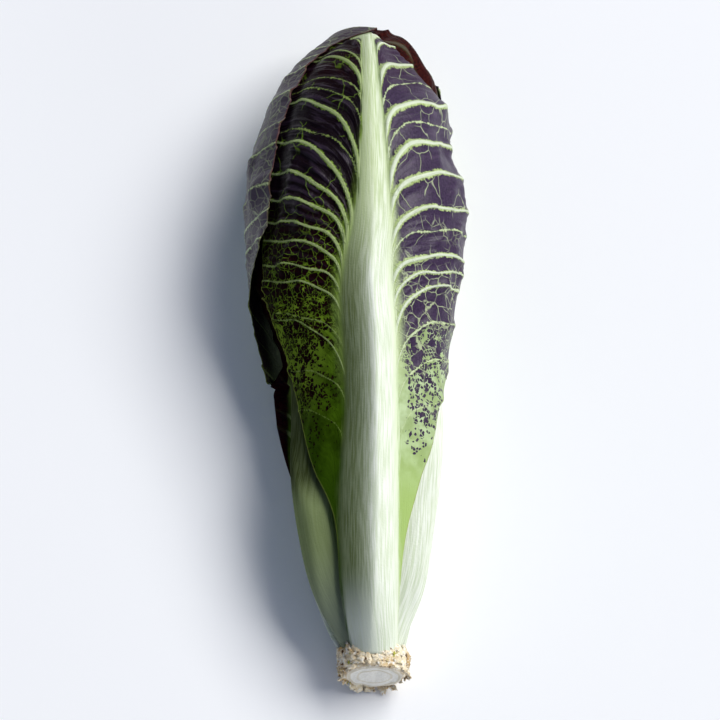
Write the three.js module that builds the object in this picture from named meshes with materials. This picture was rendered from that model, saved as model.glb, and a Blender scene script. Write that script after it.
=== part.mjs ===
// A head of Treviso radicchio, picked and trimmed, lying on its side.
// Millimetres. +Z is up, +Y runs from the cut stem to the leaf tips, z = 0 is the surface it rests on.
// Leaves sit in a spiral on a short stem. Each leaf is a closed curved blade with a thick midrib.
// Every point of a leaf is placed by three head coordinates:
//   angle  - turn around the head's long axis, in degrees, 0 at +X and 90 at the top
//   run    - distance along the head, equal to y up to the shoulder and then over the rounded tip
//   depth  - distance inward from the head's outer skin
import * as THREE from 'three';

// The head: its rounded tip starts at the shoulder, and covered leaves end short of the tip.
const TIP_Y = 121.3;
const SHOULDER_Y = 50;
const TIP_RUN = 138;
const TIP_SHRINK = 1.3;
const TIP_CURVE = 1.9;
const TIP_POINT = 0.52;
const SAG = 1.6;
const FLATNESS = 24;

// Outer skin: y, centre x, half width, half height, height of its underside above the surface.
const SKIN = [
  [-120, 6.9, 10.4, 10.4, 5.0],
  [-110, 6.4, 11.4, 11.4, 3.8],
  [-101, 5.3, 15.2, 14.8, 2.1],
  [-86, 4.3, 20.6, 19.2, 0.6],
  [-67, 3.6, 24.3, 22.0, 0.0],
  [-50, 3.6, 26.8, 24.0, 0.0],
  [-30, 3.9, 28.6, 25.5, 0.0],
  [-7, 3.1, 30.8, 27.0, 0.0],
  [17, 0.6, 36.4, 29.2, 0.0],
  [36, 0.2, 40.6, 30.6, 0.0],
  [50, 0.5, 41.6, 30.8, 0.0],
  [79, 1.2, 41.6, 30.8, -0.8],
  [108, 2.6, 41.6, 30.8, -3.6],
  [120, 4.0, 41.6, 30.8, -5.4],
];

// Midrib: run, half width, share of its full height.
const RIB = [
  [-110, 8.8, 0.0],
  [-98, 10.7, 0.75],
  [-77, 12.5, 1.0],
  [-58, 13.2, 1.0],
  [0, 10.0, 0.8],
  [60, 7.0, 0.55],
  [88, 4.4, 0.42],
  [107, 2.8, 0.32],
  [138, 2.0, 0.2],
];

// Outer leaves from the outside in: the midrib's angle, how far the blade reaches to its right and left
// as seen from outside with the tip up, and the petiole to both sides, in degrees, then the run of the
// tip, and how far the midrib stands out, in millimetres.
const OUTER = [
  ['outer_left', 218, 73, 62, 30, 122, 2.0],
  ['front', 85, 97, 66, 36, 125, 2.6],
  ['outer_right', 313, 62, 60, 30, 130, 2.2],
  ['left', 154, 62, 62, 30, 134, 2.0],
  ['right', 20, 62, 66, 30, 134, 2.0],
  ['back', 265, 58, 58, 26, 134, 1.4],
];
const OUTER_BASE = -110;
const TORN_LEAF = 'outer_left';
const FRONT_LEAF = 'front';

// The front leaf's own margins: run, reach to its right and to its left, in degrees.
const FRONT_MARGINS = [
  [-110, 48, 50],
  [-101, 43, 46],
  [-86, 37, 37],
  [-66, 35, 35],
  [-51, 37, 46],
  [-33, 41, 65],
  [-15, 54, 78],
  [3, 64, 74],
  [21, 73, 67],
  [34, 89, 66],
  [50, 97, 66],
  [138, 97, 66],
];
const OUTER_COLUMNS = 10;
const OUTER_ROWS = 18;

// Inner leaves: each is a golden angle on from the last, starts further up and ends lower.
const INNER_LEAVES = 10;
const GOLDEN_ANGLE = 137.5;
const INNER_FIRST_ANGLE = 122;
const INNER_FIRST_BASE = -99;
const INNER_BASE_STEP = 4.4;
const INNER_FIRST_TIP = 132;
const INNER_TIP_STEP = 1.2;
const INNER_REACH = 64;
const INNER_PETIOLE = 40;
const INNER_CORE = 0.92;
const INNER_FILL = 0.5;
const INNER_COLUMNS = 8;
const INNER_ROWS = 14;

// Depth under which the inner leaves are packed: run, depth.
const INNER_TOP = [
  [-100, 7.2],
  [-84, 8.4],
  [-60, 9.0],
  [-30, 11.0],
  [-10, 11.8],
  [20, 11.2],
  [50, 10.2],
  [90, 8.8],
  [138, 7.4],
];

// The torn upper wing of the outermost leaf: it starts at a run, stands off the head and then closes on it.
const TEAR_RUN = -9;
const TEAR_WIDTH = 3;
const TEAR_SPAN = 26;
const WING_SPAN = 34;
const WING_CLOSES = [5, 46];
const WING_LIFT = 5.6;
const WING_LIFT_ENDS = 42;
const WING_LIFT_TURN = [12, 36];

// Blades: thickness, gap to the next leaf, distance over which a leaf bends past the edge of the one above.
const BLADE = 1.0;
const GAP = 1.05;
const BEND_OVER = 6;
const BLADE_WIDENS = [-62, 5];
const TIP_ROUNDING = 30;
const LEAST_REACH = 4;
const RIB_INSIDE = 1.2;
const RIB_SHAPE = 1.4;

// The underside, where minus the sine of the angle is within these, is pressed on the surface.
const PRESSED = [0.7, 0.92];
const FLAT_BELOW = 0.7;

// Rows crowd towards the tip and columns towards the midrib, where the leaf curves most.
const ROWS_TO_TIP = 1.25;
const COLUMNS_TO_RIB = 1.2;

// Short conical stem that every leaf grows from: y, radius. A slanted cut ends it.
const STEM = [
  [-120, 10.2],
  [-115, 10.3],
  [-111, 8.3],
  [-107, 6.2],
  [-95, 5.0],
  [-76, 3.6],
  [-64, 1.8],
];
const STEM_SIDES = 28;
const STEM_RINGS = 9;
const CUT_TILT = 15;
const CUT_CENTRE_Y = -117.3;
const CUT_FADE = 4;

const PURPLE = 0x3c2540;
const STEM_WHITE = 0xd9dcc8;
const WAXY = 0.5;

const smooth = (low, high, x) => THREE.MathUtils.smoothstep(x, low, high);
const wrap = (degrees) => THREE.MathUtils.euclideanModulo(degrees + 180, 360) - 180;

// Smooth curve through the rows of a table, read at x in its first column.
function along(table, x, column) {
  const last = table.length - 2;
  let i = 0;
  while (i < last && table[i + 1][0] < x) {
    i += 1;
  }
  const [a, b] = [table[i], table[i + 1]];
  const before = table[Math.max(i - 1, 0)];
  const after = table[Math.min(i + 2, table.length - 1)];
  const step = b[0] - a[0];
  const t = THREE.MathUtils.clamp((x - a[0]) / step, 0, 1);
  const slopeA = ((b[column] - before[column]) / (b[0] - before[0])) * step;
  const slopeB = ((after[column] - a[column]) / (after[0] - a[0])) * step;
  const t2 = t * t;
  const t3 = t2 * t;
  return (2 * t3 - 3 * t2 + 1) * a[column] + (t3 - 2 * t2 + t) * slopeA
    + (3 * t2 - 2 * t3) * b[column] + (t3 - t2) * slopeB;
}

// The head's section at a run: centre, half width and half height of the outer skin there.
function section(run, depth = 0) {
  const turn = Math.max(run - SHOULDER_Y, 0) / (TIP_RUN - SHOULDER_Y);
  const reach = Math.sin(turn * Math.PI / 2);
  const y = Math.min(run, SHOULDER_Y) + (TIP_Y - SHOULDER_Y - TIP_SHRINK * depth) * reach;
  const taper = Math.max(1 - reach ** TIP_CURVE, 0) ** TIP_POINT;
  const width = along(SKIN, y, 2) * taper;
  const height = along(SKIN, y, 3) * taper;
  const centreZ = along(SKIN, y, 3) + along(SKIN, y, 4) - SAG;
  return { y, taper, width, height, centreX: along(SKIN, y, 1), centreZ };
}

// A point of the head at angle, run and depth. Its underside is pressed flat on the surface.
function place(angle, run, depth) {
  const s = section(run, depth);
  const radians = THREE.MathUtils.degToRad(angle);
  const x = (s.width - depth * s.taper) * Math.cos(radians);
  const z = (s.height - depth * s.taper) * Math.sin(radians);
  const drop = Math.max(-z, 1e-6);
  const room = (s.centreZ - depth) / drop;
  const squeeze = (1 + Math.max(room, 0.01) ** -FLATNESS) ** (-1 / FLATNESS);
  return new THREE.Vector3(s.centreX + x * squeeze, s.y, s.centreZ + z * squeeze);
}

// How far a leaf reaches to one side of its midrib, in degrees, at a run.
function reachOf(leaf, run, side) {
  const full = side > 0 ? leaf.right : leaf.left;
  let span = THREE.MathUtils.lerp(leaf.petiole, full, smooth(...BLADE_WIDENS, run));
  if (leaf.margins) {
    span = along(leaf.margins, run, side > 0 ? 1 : 2);
  }
  if (leaf.torn && side > 0) {
    const wing = THREE.MathUtils.lerp(WING_SPAN, full, smooth(...WING_CLOSES, run));
    span = THREE.MathUtils.lerp(TEAR_SPAN, wing, smooth(TEAR_RUN - TEAR_WIDTH, TEAR_RUN, run));
  }
  const over = Math.max(run - (leaf.tip - TIP_ROUNDING), 0) / TIP_ROUNDING;
  return Math.max(span * Math.sqrt(Math.max(1 - over ** 2, 0)), LEAST_REACH);
}

// Length of one degree of turn on the skin, in millimetres.
function degreeLength(angle, run) {
  const s = section(run, 0);
  const radians = THREE.MathUtils.degToRad(angle);
  return THREE.MathUtils.degToRad(Math.hypot(s.width * Math.sin(radians), s.height * Math.cos(radians)));
}

// Share of the midrib's bulge at an angle, 1 on its crest and 0 beyond its sides.
function ribCrest(leaf, angle, run) {
  const distance = Math.abs(wrap(leaf.angle - angle)) * degreeLength(leaf.angle, run);
  const ratio = Math.min(distance / along(RIB, run, 1), 1);
  return (1 - ratio ** 2) ** RIB_SHAPE;
}

// Distance of a point past a leaf's side edge, in millimetres.
function pastEdge(leaf, angle, run) {
  const turn = wrap(leaf.angle - angle);
  return Math.max(Math.abs(turn) - reachOf(leaf, run, turn), 0) * degreeLength(angle, run);
}

// How far the torn wing stands off the head, in millimetres.
function lift(leaf, angle, run) {
  if (!leaf.torn) {
    return 0;
  }
  const out = smooth(...WING_LIFT_TURN, wrap(leaf.angle - angle));
  const above = smooth(TEAR_RUN - TEAR_WIDTH, TEAR_RUN, run);
  return WING_LIFT * out * above * (1 - smooth(TEAR_RUN, WING_LIFT_ENDS, run));
}

// 1 where the head's weight presses its leaves flat on the surface, 0 round the rest of it.
function pressed(angle) {
  return smooth(...PRESSED, -Math.sin(THREE.MathUtils.degToRad(angle)));
}

// Depth of a leaf's outer and inner side, without the leaves that cover it.
function ownDepths(leaf, angle, run) {
  const crest = ribCrest(leaf, angle, run);
  const height = along(RIB, run, 2);
  const ridge = leaf.ridge * height;
  const outer = ridge * (1 - crest) * (1 - pressed(angle)) - lift(leaf, angle, run);
  return { outer, inner: outer + BLADE + (ridge + RIB_INSIDE * height) * crest };
}

// Room that a leaf takes up above the ones under it, fading out past its edges.
function cover(leaf, angle, run) {
  const room = Math.max(ownDepths(leaf, angle, run).inner + GAP, 0);
  const pastEnd = Math.max(run - leaf.tip, leaf.base - run, 0);
  return room * Math.exp(-((pastEdge(leaf, angle, run) / BEND_OVER) ** 2) - (pastEnd / BEND_OVER) ** 2);
}

// Depths of an outer leaf under the leaves that cover it.
function outerDepths(leaf, angle, run) {
  const own = ownDepths(leaf, angle, run);
  const above = leaf.covers.reduce((sum, other) => sum + cover(other, angle, run), 0);
  return { outer: above + own.outer, inner: above + own.inner };
}

// Depths of an inner leaf, one of an even stack between the outer leaves and the heart.
function innerDepths(leaf, angle, run) {
  const top = along(INNER_TOP, run, 1);
  const share = (INNER_CORE * along(SKIN, Math.min(run, SHOULDER_Y), 3) - top) / INNER_LEAVES;
  const outer = top + share * leaf.order;
  return { outer, inner: outer + share * INNER_FILL };
}

// One leaf: a box grid bent to its place, closed by construction.
function makeLeaf(leaf, columns, rows, depthsAt) {
  const geometry = new THREE.BoxGeometry(2, 1, 1, columns, rows, 1);
  const position = geometry.attributes.position;
  for (let i = 0; i < position.count; i += 1) {
    const across = position.getX(i);
    const t = position.getY(i) + 0.5;
    const run = leaf.base + (leaf.tip - leaf.base) * (1 - (1 - t) ** ROWS_TO_TIP);
    const side = Math.sign(across) * Math.abs(across) ** COLUMNS_TO_RIB;
    const angle = leaf.angle - side * reachOf(leaf, run, across);
    const depths = depthsAt(leaf, angle, run);
    const point = place(angle, run, position.getZ(i) > 0 ? depths.outer : depths.inner);
    position.setXYZ(i, point.x, point.y, point.z < FLAT_BELOW ? 0 : point.z);
  }
  geometry.computeVertexNormals();
  return geometry;
}

function makeStem() {
  const length = STEM[STEM.length - 1][0] - CUT_CENTRE_Y;
  const slant = Math.tan(THREE.MathUtils.degToRad(CUT_TILT));
  const geometry = new THREE.CylinderGeometry(1, 1, length, STEM_SIDES, STEM_RINGS);
  const position = geometry.attributes.position;
  for (let i = 0; i < position.count; i += 1) {
    const share = position.getY(i) / length + 0.5;
    const y = CUT_CENTRE_Y + share * length;
    const radius = along(STEM, y, 1);
    const s = section(y, 0);
    const rise = position.getZ(i) * radius;
    const sheared = y + slant * rise * (1 - share) ** CUT_FADE;
    position.setXYZ(i, s.centreX + position.getX(i) * radius, sheared, s.centreZ + rise);
  }
  geometry.computeVertexNormals();
  return geometry;
}

function material(color) {
  return new THREE.MeshStandardMaterial({ color, roughness: WAXY, metalness: 0 });
}

const head = new THREE.Group();

function add(name, geometry, color) {
  const mesh = new THREE.Mesh(geometry, material(color));
  mesh.name = name;
  head.add(mesh);
}

function leafName(number, place) {
  return `leaf_${String(number).padStart(2, '0')}_${place}`;
}

const covers = [];
for (const [place, angle, right, left, petiole, tip, ridge] of OUTER) {
  const leaf = { angle, right, left, petiole, base: OUTER_BASE, tip, ridge, covers: [...covers] };
  leaf.torn = place === TORN_LEAF;
  leaf.margins = place === FRONT_LEAF ? FRONT_MARGINS : null;
  covers.push(leaf);
  add(leafName(covers.length, place), makeLeaf(leaf, OUTER_COLUMNS, OUTER_ROWS, outerDepths), PURPLE);
}
for (let order = 0; order < INNER_LEAVES; order += 1) {
  const leaf = {
    angle: INNER_FIRST_ANGLE - GOLDEN_ANGLE * order,
    right: INNER_REACH,
    left: INNER_REACH,
    petiole: INNER_PETIOLE,
    base: INNER_FIRST_BASE + INNER_BASE_STEP * order,
    tip: INNER_FIRST_TIP - INNER_TIP_STEP * order,
    order,
  };
  const name = leafName(OUTER.length + order + 1, 'inner');
  add(name, makeLeaf(leaf, INNER_COLUMNS, INNER_ROWS, innerDepths), PURPLE);
}
add('stem', makeStem(), STEM_WHITE);

export default head;
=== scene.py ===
# %% [markdown]
# # A head of Treviso radicchio
# Treviso radicchio is a chicory with a long, tight head: thick white midribs below, wine-purple
# blades above, and a web of pale veins. This lesson grows a picked head leaf by leaf around a
# fixed frame of CAD solids, paints it with procedural materials, and lights it like a still life.
# Everything is in metres for Blender, but a leaf is easier to think about in millimetres, so the
# leaf measures are in millimetres and are scaled once, when a mesh is made.

# %% Load the frame
import bmesh
import bpy
import math
import numpy as np
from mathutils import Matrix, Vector


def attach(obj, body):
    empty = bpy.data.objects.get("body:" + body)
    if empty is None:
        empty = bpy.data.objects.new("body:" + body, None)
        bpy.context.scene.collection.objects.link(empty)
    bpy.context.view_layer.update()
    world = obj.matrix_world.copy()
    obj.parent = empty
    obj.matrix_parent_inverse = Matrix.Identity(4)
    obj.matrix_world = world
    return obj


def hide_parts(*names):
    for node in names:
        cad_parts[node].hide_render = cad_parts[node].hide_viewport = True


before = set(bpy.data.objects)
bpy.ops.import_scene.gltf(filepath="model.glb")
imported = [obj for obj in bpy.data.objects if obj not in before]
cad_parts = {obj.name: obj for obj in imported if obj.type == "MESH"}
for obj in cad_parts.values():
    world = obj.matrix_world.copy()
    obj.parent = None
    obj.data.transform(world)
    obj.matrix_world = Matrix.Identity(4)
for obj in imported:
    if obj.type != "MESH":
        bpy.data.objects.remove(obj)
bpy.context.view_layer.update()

MM = 0.001

# %% [markdown]
# ## The shape that all leaves share
# A head is round in section, fat near its shoulder, and closes over at the tip. Each leaf lies on
# that shape, some way under its skin. So a point of a leaf needs only three numbers: the turn
# around the head (degrees, 0 at +X, 90 on top), the run along it from stem to tip, and the depth
# under the skin. One function turns these into a place, and each leaf can be drawn as a flat map.

# %% The skin of the head
SHOULDER, TIP_Y, TIP_RUN, TIP_SHRINK = 50, 121.3, 138, 1.3  # past the shoulder, run bends into the tip
TIP_CURVE, TIP_POINT = 1.9, 0.52
SAG, FLATNESS = 1.6, 24  # the underside is flattened where the head lies on it
# y, centre x, half width, half height, height of the underside
SKIN = np.array([
    (-120, 6.9, 10.4, 10.4, 5.0), (-110, 6.4, 11.4, 11.4, 3.8), (-101, 5.3, 15.2, 14.8, 2.1),
    (-86, 4.3, 20.6, 19.2, 0.6), (-67, 3.6, 24.3, 22.0, 0.0), (-50, 3.6, 26.8, 24.0, 0.0),
    (-30, 3.9, 28.6, 25.5, 0.0), (-7, 3.1, 30.8, 27.0, 0.0), (17, 0.6, 36.4, 29.2, 0.0),
    (36, 0.2, 40.6, 30.6, 0.0), (50, 0.5, 41.6, 30.8, 0.0), (79, 1.2, 41.6, 30.8, -0.8),
    (108, 2.6, 41.6, 30.8, -3.6), (120, 4.0, 41.6, 30.8, -5.4)])


def along(table, x, column):
    """Smooth curve through one column of a table whose first column is x."""
    x = np.asarray(x, float)
    keys, values = table[:, 0], table[:, column]
    i = np.clip(np.searchsorted(keys[1:], x), 0, len(keys) - 2)
    before, after = np.maximum(i - 1, 0), np.minimum(i + 2, len(keys) - 1)
    step = keys[i + 1] - keys[i]
    t = np.clip((x - keys[i]) / step, 0, 1)
    slope_in = (values[i + 1] - values[before]) / (keys[i + 1] - keys[before]) * step
    slope_out = (values[after] - values[i]) / (keys[after] - keys[i]) * step
    return ((2 * t**3 - 3 * t**2 + 1) * values[i] + (t**3 - 2 * t**2 + t) * slope_in
            + (3 * t**2 - 2 * t**3) * values[i + 1] + (t**3 - t**2) * slope_out)


def ease(low, high, x):
    """0 below low, 1 above high, smooth between."""
    t = np.clip((np.asarray(x, float) - low) / (high - low), 0, 1)
    return t * t * (3 - 2 * t)


def section(run, depth=0.0):
    """The head's section at a run: y, taper, half width, half height, centre x, centre z."""
    reach = np.sin(np.maximum(run - SHOULDER, 0) / (TIP_RUN - SHOULDER) * math.pi / 2)
    y = np.minimum(run, SHOULDER) + (TIP_Y - SHOULDER - TIP_SHRINK * depth) * reach
    taper = np.maximum(1 - reach**TIP_CURVE, 0) ** TIP_POINT
    tall = along(SKIN, y, 3)
    return (y, taper, along(SKIN, y, 2) * taper, tall * taper, along(SKIN, y, 1),
            tall + along(SKIN, y, 4) - SAG)


def place(angle, run, depth):
    """A point of the head, in millimetres, from its turn, run and depth."""
    y, taper, width, height, centre_x, centre_z = section(run, depth)
    turn = np.radians(angle)
    x = (width - depth * taper) * np.cos(turn)
    z = (height - depth * taper) * np.sin(turn)
    room = (centre_z - depth) / np.maximum(-z, 1e-6)
    squeeze = (1 + np.clip(room, 0.01, 1e6) ** -FLATNESS) ** (-1 / FLATNESS)
    return np.stack([centre_x + x * squeeze, y, centre_z + z * squeeze], axis=-1)


print("Top of the head at the shoulder:", place(90, 50, 0).round(1), "mm")

# %% [markdown]
# ## The leaves and how they overlap
# Leaves leave the stem in a spiral, so their angles look unordered, but each younger leaf is about
# a golden angle on from the last. The list runs from the outside in. A leaf keeps the width of its
# midrib near the stem and widens into a blade further up. Depths are stacked: what lies above a
# leaf pushes it in, and past the edge of the leaf above it comes back out to the skin.

# %% Measures of the outer leaves
RIB = np.array([  # run, half width of the midrib, share of its full height
    (-113, 10.4, 0.0), (-104, 11.3, 0.6), (-92, 12.1, 0.9), (-61, 12.3, 1.0), (-26, 10.4, 0.88),
    (8, 10.4, 0.75), (23, 9.2, 0.66), (39, 7.2, 0.6), (52, 5.8, 0.55), (66, 4.7, 0.5), (81, 3.7, 0.4),
    (100, 2.9, 0.3), (112, 2.3, 0.2), (122, 1.4, 0.12), (134, 0.6, 0.1)])
FAN, FAN_RUNS = 4.6, (108.5, 117)  # the front midrib fans out just under its tip
RIB_ASIDE = np.array([  # run, how far the front midrib wanders to the right, and its crest too
    (-113, 0.6, -1.8), (-106, 0.5, -1.6), (-94, -0.2, 0.3), (-61, -0.7, 2.0), (-26, -0.4, 1.2),
    (8, 0.1, 1.8), (23, 1.2, 0.8), (39, 2.8, 0.3), (66, 2.3, 0.0), (81, 1.5, 0.0), (111, 0.1, 0.0),
    (127, 0.0, 0.0)])
FRONT_MARGINS = np.array([  # run, reach to the right and to the left in degrees
    (-113, 48, 50), (-97, 40, 42), (-88, 36, 38), (-77, 36, 34), (-66, 40, 34), (-58, 45, 40),
    (-49, 50, 51), (-37, 57, 62), (-24, 65, 71), (-15, 75, 77), (-6, 84, 82), (3, 88, 84),
    (12, 90, 80), (21, 90, 74), (34, 94, 70), (50, 97, 68), (72, 95, 68), (80, 88, 68), (86, 78, 68),
    (90, 66, 68), (95, 53, 69), (101, 47, 72), (107, 38, 80), (112, 34, 90), (118, 32, 110)])
LIP = np.array([  # run, reach of the outermost leaf's lip over the front leaf
    (46, 77), (60, 79), (90, 79), (100, 80), (108, 87), (113, 100), (117, 118), (121, 138),
    (126, 160), (132, 172)])
INWARD = {  # run, reach of the two flanking stalks towards the front leaf
    "leaf_04_left": np.array([(-113, 50), (-92, 48), (-76, 36), (-62, 30), (-50, 34), (5, 62)]),
    "leaf_05_right": np.array([(-113, 50), (-90, 48), (-60, 44), (-40, 44), (5, 66)])}
LEFT_MARGIN = np.array([  # run, reach of the left stalk away from the front leaf
    (-113, 30), (-66, 29), (-52, 32.5), (-40, 35), (-26, 36), (-14, 35), (-4, 38), (10, 60), (20, 62)])
# the runs over which a blade widens, and how its tip rounds off
BLADE_WIDENS, TIP_ROUNDING, SHORT_ROUNDING, LEAST_REACH = (-62, 5), 30, 5, 4
HOOD, HOOD_CLOSES, HOOD_ROUNDING = 172, (120, 132), 1.5  # the right leaf closes over the tip
# the outermost leaf's upper wing is torn off its stalk at one run, and lifts above the tear
TEAR_RUN, TEAR_WIDTH, TEAR_SPAN, WING_SPAN, WING_CLOSES = -12.5, 2, 26, 34, (5, 46)
WING_LIFT, WING_LIFT_ENDS, WING_LIFT_TURN = 8.0, 44, (12, 36)
# the gap between leaves, how softly one bends over another's edge, and the midrib's section
GAP, BEND_OVER, RIB_INSIDE, RIB_SHAPE, PRESSED = 0.75, 6, 1.2, 1.4, (0.7, 0.92)
COVER_BLADE, BLADE, MARGIN_BLADE = 0.75, 0.62, 0.34  # a blade's room and its thickness
TEAR_STOPS, TEAR_DEEP, TEAR_RAG = 11, 4.5, 1.3  # how far in the tear runs, its width and its rag
# how far margins and tips curl in, flare out or rise
FRONT_CURL, TIP_TUCK, LEFT_FLARE, RIGHT_TIP_RISE, LIP_PRESS = 1.8, 0.8, 8.0, 2.6, 0.8
STALK_FULLER = 1.6  # the left stalk stays pale further out where its blade starts
WAIST = 4.4  # the right side draws in a little above the shoulder
MARGIN_OUT, STRAND_RISE, STRAND_WIDTH, LIP_TIP_RISE = 2.0, 8.0, 1.8, 1.2
print("Widest midrib:", 2 * RIB[:, 1].max(), "mm")


# %% The outer leaves
class Leaf:
    """One leaf's measures, in degrees and millimetres."""

    def __init__(self, name, angle, right, left, petiole, tip, ridge, columns, rows, base=-111):
        self.name, self.angle, self.right, self.left = name, angle, right, left
        self.petiole, self.base, self.tip, self.ridge = petiole, base, tip, ridge
        self.columns, self.rows = columns, rows
        self.torn, self.front = name.endswith("outer_left"), name.endswith("front")
        self.left_leaf, self.right_leaf = name.endswith("04_left"), name.endswith("05_right")
        self.order, self.covers = None, []


OUTER = [  # name, turn, reach right and left, petiole's reach, tip, ridge, columns, rows
    Leaf("leaf_01_outer_left", 218, 77, 62, 30, 134, 2.0, 110, 300),
    Leaf("leaf_02_front", 85, 97, 66, 36, 125, 2.6, 136, 356),
    Leaf("leaf_03_outer_right", 313, 62, 36, 30, 130, 2.2, 110, 300),
    Leaf("leaf_04_left", 154, 62, 62, 30, 134, 2.0, 96, 270),
    Leaf("leaf_05_right", 20, 62, 66, 30, 137.8, 2.0, 96, 270),
    Leaf("leaf_06_back", 265, 58, 58, 26, 134, 1.4, 84, 220),
]
for number, leaf in enumerate(OUTER):
    leaf.number, leaf.covers = number, OUTER[:number]
print("Outer leaves:", ", ".join(leaf.name for leaf in OUTER))


# %% How far a blade reaches, and distances over the skin
def wrap(angle):
    """The same turn, between -180 and 180 degrees."""
    return (angle + 180) % 360 - 180


def reach_of(leaf, run, side):
    """How far the blade reaches at a run, in degrees. Side is positive on the leaf's right."""
    full = np.where(side > 0, leaf.right, leaf.left)
    span = leaf.petiole + (full - leaf.petiole) * ease(*BLADE_WIDENS, run)
    if leaf.front:
        span = np.where(side > 0, along(FRONT_MARGINS, run, 1), along(FRONT_MARGINS, run, 2))
    if leaf.left_leaf:
        span = np.where(side < 0, along(LEFT_MARGIN, run, 1), span)
    if leaf.name in INWARD:
        inward = side * (1 if leaf.left_leaf else -1) > 0
        span = np.where(inward & (run < 5), along(INWARD[leaf.name], run, 1), span)
    if leaf.right_leaf:
        span = span + (HOOD - span) * ease(*HOOD_CLOSES, run)
    rounding = SHORT_ROUNDING if leaf.front else HOOD_ROUNDING if leaf.right_leaf else TIP_ROUNDING
    if leaf.torn:
        wing = WING_SPAN + (full - WING_SPAN) * ease(*WING_CLOSES, run)
        wing = np.where(run > LIP[0, 0], along(LIP, run, 1), wing)
        torn = TEAR_SPAN + (wing - TEAR_SPAN) * ease(TEAR_RUN - TEAR_WIDTH, TEAR_RUN, run)
        span = np.where(side > 0, torn, span)
        rounding = np.where(side > 0, SHORT_ROUNDING, TIP_ROUNDING)
    over = np.maximum(run - (leaf.tip - rounding), 0) / rounding
    return np.maximum(span * np.sqrt(np.maximum(1 - over**2, 0)), LEAST_REACH)


def rib_half(leaf, run):
    """Half the midrib's width in millimetres; the front leaf's fans out under its tip."""
    return along(RIB, run, 1) + (FAN * ease(*FAN_RUNS, run) if leaf.front else 0.0)


def degree_length(angle, run):
    """Length of one degree of turn on the skin, in millimetres."""
    _, _, width, height, _, _ = section(run)
    turn = np.radians(angle)
    return np.radians(np.hypot(width * np.sin(turn), height * np.cos(turn)))


def across_of(leaf, angle, run):
    """Distance over the skin from the midrib, in millimetres, positive to the leaf's right."""
    turn = wrap(leaf.angle - angle)
    steps = (np.arange(5) + 0.5) / 5
    return turn * sum(degree_length(leaf.angle - turn * step, run) for step in steps) / 5


print("One degree on top of the shoulder:", round(float(degree_length(90, 50)), 2), "mm")


# %% How deep a leaf lies, and the room it takes
def own_depths(leaf, angle, run, blade):
    """Depths of a leaf's outer and inner side if nothing covered it. The pairs of numbers are the
    turns, in degrees, and the runs, in millimetres, over which a change fades in or out."""
    turn = wrap(leaf.angle - angle)
    ratio = np.minimum(np.abs(turn) * degree_length(leaf.angle, run) / rib_half(leaf, run), 1)
    crest = (1 - ratio**2) ** RIB_SHAPE
    share = along(RIB, run, 2)
    ridge = leaf.ridge * share
    pressed = ease(*PRESSED, -np.sin(np.radians(angle)))
    outer = ridge * (1 - crest) * (1 - pressed)
    if leaf.torn:
        out, above = ease(*WING_LIFT_TURN, turn), ease(TEAR_RUN - TEAR_WIDTH, TEAR_RUN, run)
        outer = outer - WING_LIFT * out * above * (1 - ease(TEAR_RUN, WING_LIFT_ENDS, run))
        outer = outer - LIP_TIP_RISE * ease(108, 124, run)
    if leaf.front:
        outer = outer - MARGIN_OUT * ease(35, 60, turn) * ease(-60, -40, run) * (1 - ease(20, 45, run))
        outer = outer + WAIST * ease(30, 70, turn) * ease(50, 68, run) * (1 - ease(70, 84, run))
        outer = outer + FRONT_CURL * ease(8, 30, turn) * ease(76, 92, run) + TIP_TUCK * ease(112, 122, run)
    if leaf.left_leaf:
        outer = outer - LEFT_FLARE * ease(24, 34, -turn) * ease(-72, -26, run) * (1 - ease(-17, -6, run))
    if leaf.right_leaf:
        outer = outer - RIGHT_TIP_RISE * ease(100, 124, run)
    return outer, outer + blade + (ridge + RIB_INSIDE * share) * crest


def cover(leaf, angle, run):
    """Room a leaf takes above the ones under it, which fades out past its edges."""
    turn = wrap(leaf.angle - angle)
    _, inner = own_depths(leaf, angle, run, COVER_BLADE)
    beyond = np.maximum(np.abs(turn) - reach_of(leaf, run, turn), 0) * degree_length(angle, run)
    past = np.maximum(np.maximum(run - leaf.tip, leaf.base - run), 0)
    return np.maximum(inner + GAP, 0) * np.exp(-((beyond / BEND_OVER) ** 2) - (past / BEND_OVER) ** 2)


room = float(cover(OUTER[0], OUTER[0].angle, SHOULDER))
print("Under its midrib, the outermost leaf pushes the others in by", round(room, 2), "mm")

# %% The inner leaves
INNER_TOP = np.array([  # run, depth under which the inner leaves are packed
    (-100, 7.2), (-84, 8.4), (-60, 9.0), (-30, 11.0), (-10, 11.8), (20, 11.2), (50, 10.2),
    (90, 8.8), (138, 7.4)])
INNER_LEAVES, GOLDEN_ANGLE = 10, 137.5
INNER_CORE, INNER_FILL = 0.92, 0.5  # how near the axis they go, and how much of its room each fills
INNER_REACH, INNER_PETIOLE = 64, 40


def inner_leaf(order):
    """The measures of an inner leaf, counted from the outside in."""
    leaf = Leaf(f"leaf_{len(OUTER) + order + 1:02d}_inner", 122 - GOLDEN_ANGLE * order,
                INNER_REACH, INNER_REACH, INNER_PETIOLE, 132 - 1.2 * order, 1.0, 36, 90,
                base=-99 + 4.4 * order)
    leaf.order, leaf.number = order, len(OUTER) + order
    return leaf


INNER = [inner_leaf(order) for order in range(INNER_LEAVES)]


def inner_depths(leaf, run):
    """Depth of an inner leaf's two sides: one of an even stack that ends at the head's core."""
    top = along(INNER_TOP, run, 1)
    share = (INNER_CORE * along(SKIN, np.minimum(run, SHOULDER), 3) - top) / INNER_LEAVES
    return top + share * leaf.order, top + share * (leaf.order + INNER_FILL)


print("Inner leaves:", len(INNER))

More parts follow.
